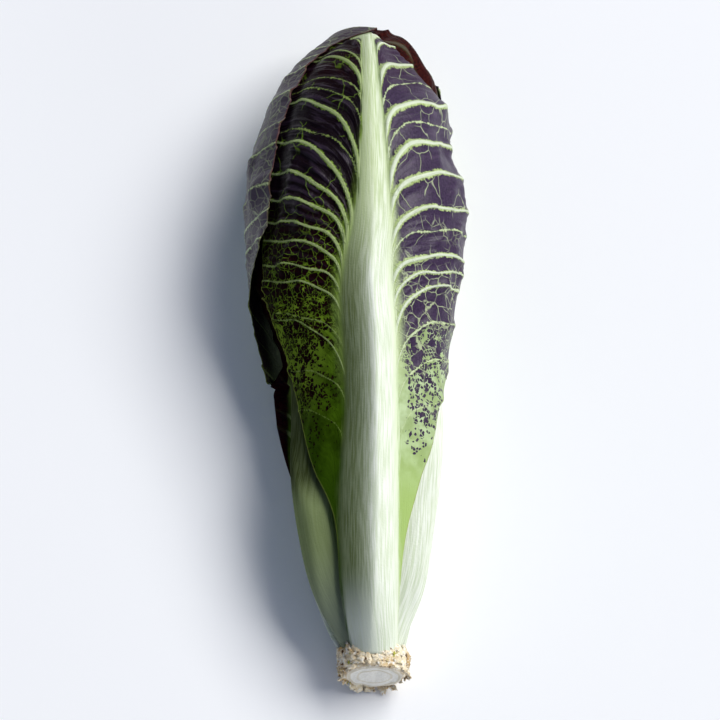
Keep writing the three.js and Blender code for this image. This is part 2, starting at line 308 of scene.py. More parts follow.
# %% [markdown]
# ## Veins
# From the midrib the side veins start almost along it, then swing outward and level off, so each is
# a short exponential curve. A vein is thick where it leaves the midrib and thins towards the
# margin. The front leaf has its own list, because its veins are what one looks at. The others
# get a regular set with a little luck. For the paint, each point stores its signed distance to the
# nearest even vein and the nearest odd vein: two fields, because one would jump halfway between
# veins, where these jump only under the other vein.

# %% Vein lists and vein distances
# run where it leaves the midrib, rise until it levels off, thickness 0-1
FRONT_RIGHT = [(-39, 14, 0.1), (-26, 16, 0.2), (-13, 16, 0.3), (0, 15, 0.7), (10.5, 9.6, 0.6),
               (18.5, 7, 0.95), (27, 7.6, 0.25), (33, 9.8, 0.9), (45.4, 8.6, 1.0), (54.3, 10.1, 1.0),
               (63, 8, 0.15), (71.3, 6.6, 1.0), (81, 7, 0.15), (90.9, 7.6, 1.0), (107, 3, 0.6)]
FRONT_LEFT = [(-36, 8, 0.12), (-22, 8, 0.2), (-14, 18, 0.35), (-4, 9, 0.2), (9, 7, 0.5), (15.3, 6, 0.5),
              (20.3, 9.4, 0.65), (24.2, 12, 0.8), (28.5, 16, 0.95), (31.5, 22, 1.0), (38, 26, 1.0),
              (55, 12.5, 0.12), (58, 21.5, 1.0), (74.5, 9, 0.15), (83, 4.5, 0.2), (88.5, 13, 1.0),
              (98, 5.5, 0.45), (111, 1.5, 0.3)]
BEND = {1: 7.0, -1: 10.0}  # how far out a front vein levels off, right and left
CLIMB = 0.12  # how much it still climbs there


def vein_list(leaf, side):
    """Starts, rises, thicknesses and seeds of the veins on one side of a leaf."""
    if leaf.front:
        rows = FRONT_RIGHT if side > 0 else FRONT_LEFT
    else:
        luck = np.random.default_rng(100 + 7 * leaf.number + side)
        starts = np.arange(-36, 116, 10.5) + luck.uniform(-2.4, 2.4, len(np.arange(-36, 116, 10.5)))
        full = 0.45 if leaf.torn and side > 0 else 1.0
        rows = [(start, 9 + 4 * luck.random(), full * (0.35 + 0.65 * luck.random() ** 0.6))
                for start in starts]
    return np.array(rows)


def vein_curves(leaf, side, distance):
    """Run of each vein at a distance out from the midrib's edge: one row per vein."""
    rows = vein_list(leaf, side)
    out = np.maximum(distance, -2.5)
    bend = BEND[side] if leaf.front else 8.0
    luck = np.random.default_rng(500 + 11 * leaf.number + side)
    curves = []
    for start, rise, _ in rows:
        wander = 0.45 * np.sin(out / luck.uniform(2.6, 4.2) + luck.uniform(0, 6)) * ease(2, 10, out)
        strand = STRAND_RISE * np.exp(-np.maximum(out, -1.5) / STRAND_WIDTH) if leaf.order is None else 0.0
        curves.append(start + rise * (1 - np.exp(-out / bend)) + CLIMB * out + wander - strand)
    return np.array(curves), rows


def veins(leaf, across, run):
    """Signed distances to the nearest even and odd vein, and those veins' thicknesses."""
    distance = np.abs(across) - 0.85 * rib_half(leaf, run)
    result = np.zeros((4, len(run)))
    for side in (1, -1):
        here = across * side >= 0
        curves, rows = vein_curves(leaf, side, distance[here])
        steps, _ = vein_curves(leaf, side, distance[here] + 0.5)
        lean = 1 / np.hypot(1, (steps - curves) * 2)
        gaps = (run[here] - curves) * lean
        even_below = (gaps[0::2] > 0).sum(axis=0)
        odd_below = (gaps[1::2] > 0).sum(axis=0)
        even = np.clip(2 * odd_below, 0, (len(rows) - 1) // 2 * 2)
        odd = np.clip(2 * even_below - 1, 1, len(rows) // 2 * 2 - 1)
        item = np.arange(gaps.shape[1])
        result[:, here] = gaps[even, item], gaps[odd, item], rows[even, 2], rows[odd, 2]
    return result


print("Front leaf veins:", len(FRONT_RIGHT), "right,", len(FRONT_LEFT), "left")

# %% [markdown]
# ## Relief
# On the outside of a leaf the veins stand proud like cords and the blade puckers in between them.
# The midrib of a radicchio leaf is a keel: two gently hollow flanks that meet in a soft ridge. Its
# flanks carry long, fine ribs of fibre. The margin waves and has small soft teeth. Where a leaf is
# tucked under another it lies smooth, so the relief fades with cover.

# %% Ripples, keel and relief
def ripple(x, y, size, seed, waves=7):
    """Smooth random rise and fall, about -1 to 1, with bumps of the given size."""
    luck = np.random.default_rng(seed)
    total = 0.0
    for _ in range(waves):
        heading, pace = luck.uniform(0, 2 * math.pi), luck.uniform(0.7, 1.35) * math.pi / size
        way = x * math.cos(heading) + y * math.sin(heading)
        total = total + np.sin(way * pace + luck.uniform(0, 6.3))
    return total / math.sqrt(waves)


KEEL = np.array([  # run, rise of the crest over the flanks
    (-113, 0.2), (-107, 2.6), (-95, 4.8), (-45, 5.8), (-10, 5.0), (10, 3.8), (28, 2.2), (48, 1.0),
    (70, 0.5), (90, 0.3), (138, 0.2)])
KEEL_ROUND, PLAIN_KEEL = 0.065, 0.22
VEIN_RISE, PUCKER, DEEPEST = 0.7, 0.045, 0.7  # cords stand out, the blade between them sinks in


def keel(leaf, across, run):
    """Roof-like ridge over the midrib, 1 on its crest and 0 at its sides."""
    crest = along(RIB_ASIDE, run, 2) if leaf.front else 0.0
    width = rib_half(leaf, run)
    flank = np.where(across > crest, (across - crest) / (width - crest),
                     (crest - across) / (width + crest))
    flank = np.minimum(flank, 1)
    foot = math.hypot(1, KEEL_ROUND)
    slope = (foot - np.hypot(flank, KEEL_ROUND)) / (foot - KEEL_ROUND)
    return slope ** 1.1


def relief(leaf, across, run, ratio, covered):
    """How far the outer side stands out from its smooth place, in millimetres."""
    even, odd, even_thick, odd_thick = veins(leaf, across, run)
    beside = ease(0.8, 1.25, ratio)
    fade = np.exp(-np.maximum(np.abs(across) - rib_half(leaf, run), 0) / 18)
    cords = 0.0
    for gap, thick in ((even, even_thick), (odd, odd_thick)):
        cords = cords + 1.25 * thick ** 1.4 * np.exp(-((gap / (0.7 + 0.6 * thick)) ** 2))
    room = np.abs(even) + np.abs(odd)
    hollow = 4 * np.abs(even) * np.abs(odd) / np.maximum(room, 1) ** 2 * np.minimum(room, 18)
    far = ease(16, 34, np.abs(across))
    near_vein = np.where(np.abs(even) < np.abs(odd), even, odd)
    fold = ripple(near_vein, across * 0.22, 1.9, 33 + leaf.number) * ease(0.8, 2.4, np.abs(near_vein))
    crease = fold * np.where((across < 0) & leaf.front, 0.5, 0.16) * ease(0, 30, run + 20)
    crease = crease + ripple(across, run, 19, 51 + leaf.number) * 0.5
    crease = crease + far * ripple(across, run, 6, 57) * 0.8
    blade = VEIN_RISE * cords * (0.25 + 0.75 * fade) - PUCKER * (1 + far) * hollow + crease
    ridge = along(KEEL, run, 1) * (1 if leaf.front else PLAIN_KEEL)
    high = ease(-75, -20, run)
    bumps = blade * beside * high + ridge * keel(leaf, across, run)
    bumps = np.where(bumps < 0, DEEPEST * np.tanh(bumps / DEEPEST), bumps)
    return bumps * (1 - 0.85 * ease(0.2, 1.6, covered))


print("The front midrib's keel rises", KEEL[:, 1].max(), "mm")

# %% [markdown]
# ## Growing a leaf
# A leaf starts as a flat grid, one unit either way. Solidify gives it a second sheet and a rim, so
# it is closed before it is bent. Then every vertex is looked up on the head: its place on the grid
# says how far across and along the leaf it is, and which sheet it is in says how deep. The same
# numbers are stored on the mesh for the paint to read, so the paint follows the leaf, not space.

# %% Margins and tears
CROWD = 1.2  # columns crowd towards the midrib
SHEET = 0.005  # half the thickness of a flat slab, which tells its two sheets apart


def tooth(leaf, run, side):
    """How far the margin stands out or in from its plain outline, in millimetres."""
    saw = np.abs(((run + 1.3 * ripple(run, run * 0 + side, 9, 90 + leaf.number)) / 6.3) % 1 - 0.5) * 2
    teeth = 0.7 * ease(0.72, 1.0, saw)
    scallop = 0.9 * ripple(run, run * 0 + 13 * side, 11, 91 + leaf.number)
    return (teeth + scallop) * ease(-60, -5, run) * (1 - ease(leaf.tip - 26, leaf.tip - 6, run))


def run_of(leaf, v):
    """Run along the leaf from its place on the flat grid; rows crowd towards the tip."""
    t = np.clip(v * 0.5 + 0.5, 0, 1)
    return leaf.base + (leaf.tip - leaf.base) * (1 - (1 - t) ** 1.25)


def in_tear(leaf, spot):
    """True where the outermost leaf's upper wing is torn away from its stalk."""
    run = run_of(leaf, spot.y)
    turn = spot.x ** CROWD * reach_of(leaf, run, 1) if spot.x > 0 else 0
    return turn > TEAR_STOPS and TEAR_RUN - TEAR_DEEP < run < TEAR_RUN


print("Half of the front leaf's rows lie past run", round(float(run_of(OUTER[1], 0)), 1), "mm")


# %% A flat closed slab
def grid_leaf(leaf):
    """A flat closed slab for a leaf, with the notch of a tear cut out of it."""
    work = bmesh.new()
    bmesh.ops.create_grid(work, x_segments=leaf.columns, y_segments=leaf.rows, size=1)
    if leaf.torn:
        gone = [face for face in work.faces if in_tear(leaf, face.calc_center_median())]
        bmesh.ops.delete(work, geom=gone, context="FACES")
    bmesh.ops.solidify(work, geom=work.faces[:], thickness=2 * SHEET)
    bmesh.ops.recalc_face_normals(work, faces=work.faces[:])
    mesh = bpy.data.meshes.new(leaf.name + "_grown")
    work.to_mesh(mesh)
    work.free()
    return mesh


def store(mesh, name, columns):
    """Keep three numbers per vertex under a name that the material can read."""
    layer = mesh.attributes.new(name, "FLOAT_VECTOR", "POINT")
    layer.data.foreach_set("vector", np.stack(columns, axis=-1).astype(np.float32).ravel())


print("Rows of faces on all leaves:", sum(leaf.rows for leaf in OUTER + INNER))

# %% How purple each place is
FLUSH_RIGHT = np.array([  # run, purple
    (-62, -0.2), (-48, 0.0), (-36, 0.14), (-26, 0.27), (-18, 0.4), (-9, 0.55), (0, 0.64),
    (10, 0.73), (20, 0.85), (32, 0.98), (44, 1.1)])
FLUSH_LEFT = np.array([
    (-90, -0.1), (-50, 0.0), (-24, 0.17), (-6, 0.28), (6, 0.38), (16, 0.54), (28, 0.72), (38, 0.92),
    (48, 1.1)])


def flush_of(leaf, across, run):
    """How purple the blade is: 1 solid, under 0.7 broken into islands, under 0.4 into dots, 0 none."""
    right = along(FLUSH_RIGHT, run, 1) + 0.12 * ease(14, 26, np.abs(across)) * (1 - ease(-28, -14, run))
    right = right - 0.14 * ease(17, 27, np.abs(across)) * ease(-30, -20, run) * (1 - ease(-4, 8, run))
    right = right - 0.2 * (1 - ease(12, 17, np.abs(across))) * (1 - ease(-18, 0, run))
    left = along(FLUSH_LEFT, run, 1) + 0.12 * ease(14, 30, np.abs(across)) * (1 - ease(0, 20, run))
    base = np.where(across >= 0, right, left)
    return base + 0.07 * ripple(across, run, 12, 140 + leaf.number)


print("Purple begins at run", FLUSH_RIGHT[1, 0], "mm on the right and", FLUSH_LEFT[1, 0], "on the left")


# %% Bend the slab onto the head
def store_paint(mesh, leaf, across, run, ratio, edge, inside):
    """Keep what the paint asks for: place, veins, pigment, stains, painted sheen and painted shade."""
    even, odd, even_thick, odd_thick = veins(leaf, across, run)
    store(mesh, "spread", (across, run, np.full(len(run), 37.0 * leaf.number)))
    store(mesh, "veins", (even, odd, edge))
    store(mesh, "cords", (even_thick, odd_thick, ratio))
    # weight of the painted-shade colours: the front leaf's left half, away from the lamp, all of the left
    # stalk, almost none of the right leaf, half on the others, and random patches on the outermost leaf
    shaded_side = np.full(len(run), 1.0 if leaf.left_leaf else 0.05 if leaf.right_leaf else 0.5)
    if leaf.front:
        shaded_side = ease(-6, 6, -across)
    if leaf.torn:
        shaded_side = 0.35 + 0.35 * ripple(across, run, 40, 160)
    store(mesh, "tone", (flush_of(leaf, across, run), inside, shaded_side))
    brown = ease(68, 84, run) if leaf.right_leaf else 0.2 * ease(78, 96, run)
    lip = ease(20, 60, run) if leaf.torn else np.zeros(len(run))
    # the outermost leaf gets a second net of pale lines and a painted grey sheen of the room's light
    net_sheen_and_shade = np.full(len(run), 1.0 if leaf.torn else 0.0)
    if leaf.left_leaf:
        # painted shade: the left blade beyond the midrib, from run -80, and the whole stalk from run -17
        # up, are painted dark
        painted_shade = ease(0.99, 1.05, ratio) * (across < 0) * ease(-80, -60, run)
        net_sheen_and_shade = -np.maximum(ease(-17, -9, run), painted_shade)
    store(mesh, "marks_sheen_and_shade", (brown, net_sheen_and_shade, lip))
    # painted shade: the left stalk's midrib is painted olive
    shaded_stalk = 1.0 if leaf.left_leaf else 0.0
    store(mesh, "painted_stalk_shade", (np.full(len(run), shaded_stalk), across * 0, across * 0))


def grow(leaf):
    """Make the mesh of one leaf, in metres, with the numbers its paint needs."""
    mesh = grid_leaf(leaf)
    flat = np.empty(len(mesh.vertices) * 3)
    mesh.vertices.foreach_get("co", flat)
    u, v, w = flat.reshape(-1, 3).T
    inside = (np.abs(w) > SHEET).astype(float)
    run = run_of(leaf, v)
    spread = np.sign(u) * np.abs(u) ** CROWD
    if leaf.torn:
        rag = ripple(spread * 60, run * 0, 1.6, 17) * ease(0.1, 0.4, spread)
        run = run + TEAR_RAG * rag * np.exp(-(((run - TEAR_RUN) / 5) ** 2))
    side = np.where(u < 0, -1, 1)
    reach = reach_of(leaf, run, side)
    bare = leaf.angle - spread * reach
    length = np.maximum(degree_length(bare, run), 0.1)
    angle = leaf.angle - spread * (reach + tooth(leaf, run, side) / length * np.abs(spread) ** 6)
    across = across_of(leaf, angle, run)
    if leaf.front:
        across = across - along(RIB_ASIDE, run, 1)
    half = rib_half(leaf, run)
    if leaf.left_leaf:
        half = half + STALK_FULLER * ease(-58, -40, run) * (1 - ease(-18, -10, run)) * (across < 0)
    ratio = np.abs(across) / half
    edge = np.minimum((1 - np.abs(spread)) * reach * length, (leaf.tip - run) * 0.9)
    if leaf.order is None:
        covered = sum((cover(other, angle, run) for other in leaf.covers), np.zeros(len(run)))
        thick = MARGIN_BLADE + (BLADE - MARGIN_BLADE) * ease(0, 6, edge)
        outer, inner = own_depths(leaf, angle, run, thick)
        bump = relief(leaf, across, run, ratio, covered)
        if leaf.torn:
            covered = covered + LIP_PRESS * (1 - ease(0, 9, edge)) * ease(30, 50, run) * (across > 0)
        outer, inner = outer + covered - bump, inner + covered - 0.6 * bump * ease(0.8, 1.3, ratio)
    else:
        outer, inner = inner_depths(leaf, run)
        bump = 0.5 * relief(leaf, across, run, ratio, np.full(len(run), 1.5))
        inner = outer + np.minimum(inner - outer, BLADE + (inner - outer) * (1 - np.minimum(ratio, 1) ** 2))
        outer = outer - bump
    spot = place(angle, run, np.where(inside > 0.5, inner, outer))
    spot[:, 2] = np.maximum(spot[:, 2], 0.0)
    mesh.vertices.foreach_set("co", (spot * MM).ravel())
    store_paint(mesh, leaf, across, run, ratio, edge, inside)
    mesh.update()
    return mesh


print("A place on the front leaf's crest:", place(OUTER[1].angle, 0, 0).round(1), "mm")

# %% [markdown]
# ## The skin of a leaf
# A radicchio leaf is living skin under a thin bloom of wax. To the eye that is a soft, broad shine
# that never gets glassy, and no shine where the leaf is brown or painted dark as shade. Its colours
# lie in layers: green flesh, then purple pigment in the small cells between veins, then pale veins
# and the fleshy midrib. Most colours come twice: lit, and as painted shade, darker and greener, for
# the left half that lies away from the lamp. They could be painted by hand on each leaf, but sixteen
# leaves would take long and could not be changed together. Here every layer is worked out by nodes,
# from the numbers that each point of a leaf carries, so that one material serves them all and the
# pattern never slides.

# %% Helpers for colours and nodes
def tint(code):
    """Turn an sRGB hex colour into the linear numbers that shaders use."""
    parts = [int(code[i:i + 2], 16) / 255 for i in (1, 3, 5)]
    return [c / 12.92 if c <= 0.04045 else ((c + 0.055) / 1.055) ** 2.4 for c in parts] + [1.0]


SHORT = {  # short names: the node, the sockets that inputs fill in order, the output, the settings
    "Step": ("MapRange", (0, 1, 2, 3, 4), 0, {"interpolation_type": "SMOOTHSTEP"}),
    "Blend": ("Mix", (0, 6, 7), 2, {"data_type": "RGBA"}),
    "BlendNumber": ("Mix", (0, 2, 3), 0, {"data_type": "FLOAT"}),
    "Noise": ("TexNoise", ("Vector", "Scale", "Detail"), 0, {}),
    "Split": ("SeparateXYZ", (0,), "all", {})}


class Paint:
    """The node tree of a material or a world, emptied for new nodes."""

    def __init__(self, owner):
        owner.use_nodes = True
        self.tree = owner.node_tree
        self.tree.nodes.clear()

    def add(self, kind, *inputs, output=None, **settings):
        """Add a node and link it. Inputs fill its sockets in order, or by name in a dict. The kind
        is a node type, a short name from the table above, or a Math operation in capitals."""
        sockets, usual = range(9), 0
        if kind in SHORT:
            kind, sockets, usual, extra = SHORT[kind]
            settings = {**extra, **settings}
        elif kind.isupper():
            kind, settings = "Math", {"operation": kind}
        node = self.tree.nodes.new("ShaderNode" + kind)
        for key, value in settings.items():
            setattr(node, key, value)
        pairs = []
        for item in inputs:
            pairs += item.items() if isinstance(item, dict) else [(sockets[len(pairs)], item)]
        for key, value in pairs:
            if isinstance(value, bpy.types.NodeSocket):
                self.tree.links.new(value, node.inputs[key])
            else:
                node.inputs[key].default_value = value
        output = usual if output is None else output
        return node if not node.outputs else node.outputs[:] if output == "all" else node.outputs[output]


print("Short names for nodes:", ", ".join(SHORT))

# %% What each point of a leaf tells its paint
LEAF_SKIN = bpy.data.materials.new("Radicchio leaf, waxy living skin")
add = Paint(LEAF_SKIN).add
where = add("Attribute", attribute_name="spread", output="Vector")
across, run, _ = add("Split", where)
even, odd, edge = add("Split", add("Attribute", attribute_name="veins", output="Vector"))
even_thick, odd_thick, ratio = add("Split", add("Attribute", attribute_name="cords", output="Vector"))
flush, inside, shaded_side = add("Split", add("Attribute", attribute_name="tone", output="Vector"))
brown, net_sheen_and_shade, lip = add("Split", add("Attribute", attribute_name="marks_sheen_and_shade", output="Vector"))
shaded_stalk = add("Split", add("Attribute", attribute_name="painted_stalk_shade", output="Vector"))[0]
# the left stalk's painted shade, split from the outermost leaf's net and its painted grey sheen
painted_shade = add("MAXIMUM", add("MULTIPLY", net_sheen_and_shade, -1.0), 0.0)
net_sheen_and_shade = add("MAXIMUM", net_sheen_and_shade, 0.0)
brown_and_painted_shade = add("MAXIMUM", painted_shade, brown)
beside = add("Step", ratio, 0.88, 1.12)
left = add("Step", shaded_side, 0.4, 0.6)

# noise bumps to a millimetre: frayed edges of 0.8 mm and blotches of 6 mm
FRILL, COARSE = 1.3, 0.16
frill = add("Noise", where, FRILL, 4.0)
coarse = add("Noise", where, COARSE, 3.0)


def by_side(right, shaded_colour):
    """A colour in two versions: lit for a leaf's right half, and painted shade, darker and greener, for its
    left half.
    """
    return add("Blend", shaded_side, tint(right), tint(shaded_colour))


print("Nodes that read the mesh:", len(LEAF_SKIN.node_tree.nodes))

# %% Veins: a pale core in a green band with a frayed edge
SWELL = 0.4  # a vein swells and slims again about every 2.5 mm
taper = add("MapRange", add("ABSOLUTE", across), 7.0, 36.0, 1.1, 0.5)
swell = add("SUBTRACT", add("Noise", where, SWELL, 1.0), 0.5)
slim = add("MULTIPLY_ADD", shaded_side, -0.5, 1.3)
share, core = None, None
for gap, thick in ((even, even_thick), (odd, odd_thick)):
    thick = add("MULTIPLY", thick, taper)
    far = add("ABSOLUTE", gap)
    swollen = add("MULTIPLY_ADD", swell, -1.3, far)
    frayed = add("MULTIPLY_ADD", add("SUBTRACT", frill, 0.5), 1.9, swollen)
    this_share = add("DIVIDE", frayed, add("MULTIPLY_ADD", thick, slim, 0.05))
    core_share = add("DIVIDE", far, add("MULTIPLY_ADD", thick, 0.75, 0.1))
    this_core = add("MULTIPLY", add("Step", core_share, 0.4, 1.0, 1.0, 0.0), add("Step", thick, 0.05, 0.5))
    share = this_share if share is None else add("MINIMUM", share, this_share)
    core = this_core if core is None else add("MAXIMUM", core, this_core)
band = add("MULTIPLY", add("Step", share, 0.85, 1.15, 1.0, 0.0), beside)
core = add("MULTIPLY", core, beside)
print("Nodes with the veins:", len(LEAF_SKIN.node_tree.nodes))

# %% The fine net between the veins
NET, OLD_NET, ISLAND, SMALL_ISLAND = 9.0, 3.6, 5.0, 2.7  # cell sizes in millimetres
CLUSTER, DOT, SPECK = 2.1, 1.25, 0.8
NET_PATCH, WALL_PATCH = 0.13, 0.35  # the lines come and go in patches of 8 mm and 3 mm
CROOKED, SPOTTY = (0.22, 3.0), (0.8, 0.55)  # bumps to a millimetre, and how far they push


def cells(vector, size):
    """Distance to the nearest cell wall in millimetres, and a random number per cell."""
    walls = add("TexVoronoi", {"Vector": vector, "Scale": 1 / size}, feature="DISTANCE_TO_EDGE")
    luck = add("TexVoronoi", {"Vector": vector, "Scale": 1 / size}, feature="F1", output="Color")
    return add("MULTIPLY", walls, size), add("Split", luck)[0]


def nudge(vector, scale, amount):
    """The same place, pushed about a little, so that lines drawn with it wander."""
    push = add("VectorMath", {0: add("Noise", vector, scale, 1.0, output=1), 1: (0.5, 0.5, 0.5)},
               operation="SUBTRACT")
    return add("VectorMath", {0: push, 1: (amount,) * 3, 2: vector}, operation="MULTIPLY_ADD")


crooked = nudge(where, *CROOKED)
spotty = nudge(where, *SPOTTY)
net_mm, _ = cells(crooked, NET)
net_from = add("MULTIPLY_ADD", add("Step", shaded_side, 0.6, 0.9), 0.07, 0.42)
net_shows = add("Step", add("Noise", where, NET_PATCH, 1.0), net_from, 0.57)
line = add("MULTIPLY", add("Step", net_mm, 0.04, 0.22, 0.8, 0.0), net_shows)
island_mm, island_luck = cells(spotty, ISLAND)
small_mm, small_luck = cells(spotty, SMALL_ISLAND)
island_mm = add("BlendNumber", left, island_mm, small_mm)
island_luck = add("BlendNumber", left, island_luck, small_luck)
wall = add("Step", island_mm, 0.04, add("MULTIPLY_ADD", left, -0.1, 0.24), 1.0, 0.0)
wall_shows = add("Step", add("Noise", where, WALL_PATCH, 2.0), 0.38, 0.54, 0.3, 1.0)
wall = add("MULTIPLY", wall, wall_shows)
wall = add("MULTIPLY", wall, add("Step", flush, 0.84, 1.04, 1.0, 0.0))
line = add("MAXIMUM", line, wall)
old_line = add("Step", cells(crooked, OLD_NET)[0], 0.05, 0.2, 1.0, 0.0)
line = add("MAXIMUM", line, add("MULTIPLY", old_line, add("MULTIPLY", net_sheen_and_shade, 0.35)))
line = add("MULTIPLY", add("MULTIPLY", line, beside), add("Step", flush, 0.3, 0.55))
print("Nodes with the net:", len(LEAF_SKIN.node_tree.nodes))

# %% Where the purple lies: solid, in islands, in dots
amount = add("MULTIPLY_ADD", add("SUBTRACT", coarse, 0.5), 0.5, flush)
island = add("LESS_THAN", island_luck, add("Step", amount, 0.42, 0.72))
dot_mm, dot_luck = cells(spotty, DOT)
dot = add("MULTIPLY", add("Step", dot_mm, 0.06, 0.16),
          add("LESS_THAN", dot_luck, add("Step", amount, 0.02, 0.62, 0.0, 0.95)))
cluster_mm, cluster_luck = cells(spotty, CLUSTER)
cluster = add("MULTIPLY", add("Step", cluster_mm, 0.05, 0.2),
              add("LESS_THAN", cluster_luck, add("Step", amount, 0.18, 0.66, 0.0, 0.95)))
speck_mm, speck_luck = cells(where, SPECK)
speckled = add("MULTIPLY", left, add("Step", amount, -0.1, 0.5, 0.0, 0.34))
speck = add("MULTIPLY", add("Step", speck_mm, 0.08, 0.16), add("LESS_THAN", speck_luck, speckled))
dot = add("MAXIMUM", dot, add("MAXIMUM", cluster, speck))
purple = add("MAXIMUM", add("MAXIMUM", island, dot), add("Step", flush, 0.8, 0.95))
purple = add("MAXIMUM", add("MULTIPLY", purple, beside), brown_and_painted_shade)

# a green halo stays clear beside the midrib, low down
near_rib = add("MULTIPLY_ADD", add("SUBTRACT", frill, 0.5), 0.25, ratio)
halo_run = add("BlendNumber", left, add("Step", run, 84, 40), add("Step", run, 74, 24))
halo = add("MULTIPLY", add("Step", near_rib, 1.02, 1.5, 1.0, 0.0), halo_run)
halo_without_brown_or_shade = add("MULTIPLY", halo, add("SUBTRACT", 1.0, brown_and_painted_shade))
purple = add("MULTIPLY", purple, add("MULTIPLY_ADD", halo_without_brown_or_shade, -0.9, 1.0))
print("Nodes with the purple:", len(LEAF_SKIN.node_tree.nodes))

# %% Colours of the blade
# each by_side pair is a lit colour and a painted-shade colour; low_green is the painted-shade green, darker
# low down
low_green = add("Blend", add("Step", run, 14, -22), tint("#6f8c24"), tint("#3e5a0c"))
green = add("Blend", shaded_side, tint("#93a86e"), low_green)
green = add("Blend", add("Step", coarse, 0.35, 0.65), green, by_side("#b4c898", "#273b04"))
green = add("Blend", add("Step", run, -30, -62), green, by_side("#a0bb6a", "#35520a"))
outward = add("MULTIPLY", add("Step", add("MULTIPLY", across, -1.0), 13, 28), add("Step", run, -36, -8))
green = add("Blend", add("MULTIPLY", outward, add("MULTIPLY", shaded_side, 0.7)), green, tint("#76902c"))
low_halo = add("MULTIPLY", halo, add("Step", run, -30, 0))
green = add("Blend", low_halo, green, by_side("#b9c994", "#6f8440"))

shaded_wine = add("Blend", add("Step", run, 20, 60), tint("#1d060a"), tint("#120812"))
wine = add("Blend", shaded_side, tint("#382645"), shaded_wine)
wine = add("Blend", add("Step", frill, 0.4, 0.62), wine, by_side("#2a1a35", "#0d0406"))
# the blade wrinkles beside its veins, about 2.4 mm apart and six times as long; its crests get a
# painted sheen, paler on the lit side
WRINKLE, WRINKLE_STRETCH = 0.42, 0.16
along_vein = add("CombineXYZ", add("MULTIPLY", across, WRINKLE_STRETCH),
                 add("MINIMUM", even, odd), add("MAXIMUM", even, odd))
wrinkle = add("Noise", along_vein, WRINKLE, 2.0)
crest = add("MULTIPLY", add("Step", wrinkle, 0.52, 0.7), add("Step", run, 10, 60, 0.05, 0.3))
wine = add("Blend", crest, wine, by_side("#54405c", "#43314a"))
# painted sheen: the outermost leaf's purple is greyed, standing in for the room's bluish light on it
wine = add("Blend", add("MULTIPLY", net_sheen_and_shade, 0.65), wine, tint("#4c454e"))
dried = add("Blend", add("Step", coarse, 0.4, 0.6), tint("#180708"), tint("#2a0c0f"))
dried = add("Blend", add("Step", frill, 0.3, 0.7), dried, tint("#3e1612"))
wine = add("Blend", brown, wine, dried)
print("Nodes with the blade's colours:", len(LEAF_SKIN.node_tree.nodes))

# %% Colours of the midrib
FIBRE, FIBRE_STRETCH = 2.4, 0.04  # fibres are 0.4 mm apart and 25 times as long
stretch = add("VectorMath", {0: where, 1: (1.0, FIBRE_STRETCH, 1.0)}, operation="MULTIPLY")
fibres = add("Noise", stretch, FIBRE, 3.0)
rib_colour = add("Blend", add("Step", fibres, 0.34, 0.66), tint("#cfdabe"), tint("#eaefe2"))
upper_rib = add("Blend", add("Step", fibres, 0.4, 0.62), tint("#b9c99a"), tint("#dbe4ca"))
rib_colour = add("Blend", add("Step", run, 10, 60), rib_colour, upper_rib)
pale_flank = add("Blend", add("Step", run, 15, 60), tint("#dde8c6"), tint("#c2d39c"))
flank = add("Blend", shaded_side, pale_flank, tint("#b5c78e"))
flank = add("Blend", add("Step", run, -90, -30), tint("#dfe6cf"), flank)
rib_colour = add("Blend", add("Step", ratio, 0.6, 1.0), rib_colour, flank)

# painted shade: the midrib's left flank is painted greener and darker, and the left stalk olive, for the
# shade they lie in
shade = add("Blend", add("Step", run, 12, 46), tint("#66743a"), tint("#aebd8c"))
shade = add("Blend", add("Step", run, -106, -80), tint("#d6ddd2"), shade)
stalk_shade = add("Blend", add("Step", run, -105, -70), tint("#8c9680"), tint("#7c8a5c"))
stalk_shade = add("Blend", add("Step", run, -62, -48), stalk_shade, tint("#363f1f"))
shade = add("Blend", shaded_stalk, shade, stalk_shade)
paler = add("MULTIPLY", add("Step", fibres, 0.38, 0.64, 0.0, 0.34), add("MULTIPLY_ADD", shaded_stalk, -0.75, 1.0))
shade = add("Blend", paler, shade, tint("#b9c79b"))
left_flank = add("Step", add("MULTIPLY", across, -1.0), -1.5, 1.0, 0.0, 0.92)
rib_colour = add("Blend", add("MAXIMUM", add("MULTIPLY", shaded_side, left_flank), shaded_stalk), rib_colour, shade)
rib_colour = add("Blend", add("MAXIMUM", painted_shade, add("Step", brown, 0.1, 0.7)), rib_colour, wine)
print("Nodes with the midrib's colours:", len(LEAF_SKIN.node_tree.nodes))

# %% Lay the colours over each other
colour = add("Blend", purple, green, wine)
clear = add("SUBTRACT", 1.0, add("MAXIMUM", add("MULTIPLY", painted_shade, 0.985), add("MULTIPLY", brown, 0.95)))
clear_line = add("MULTIPLY", add("MULTIPLY", line, 0.85), clear)
colour = add("Blend", clear_line, colour, by_side("#b3bf95", "#627f20"))
band_colour = add("Blend", add("Step", share, 0.2, 0.95), by_side("#c3d2a0", "#84994c"),
                  by_side("#9cb069", "#5f7a24"))
clear_band = add("MULTIPLY", band, add("MULTIPLY", add("Step", flush, 0.0, 0.5, 0.25, 1.0), clear))
colour = add("Blend", clear_band, colour, band_colour)
colour = add("Blend", add("MULTIPLY", core, clear), colour, by_side("#dbe5cb", "#a3b579"))
# the midrib's edge is streaky, more so towards the tip
fray = add("MULTIPLY_ADD", add("Step", run, 20, 70), 0.7, 0.5)
streaky = add("MULTIPLY_ADD", add("SUBTRACT", fibres, 0.5), fray, ratio)
rib_ends = add("SUBTRACT", 0.88, add("MULTIPLY", shaded_side, 0.12))
colour = add("Blend", add("Step", streaky, rib_ends, 1.1, 1.0, 0.0), colour, rib_colour)
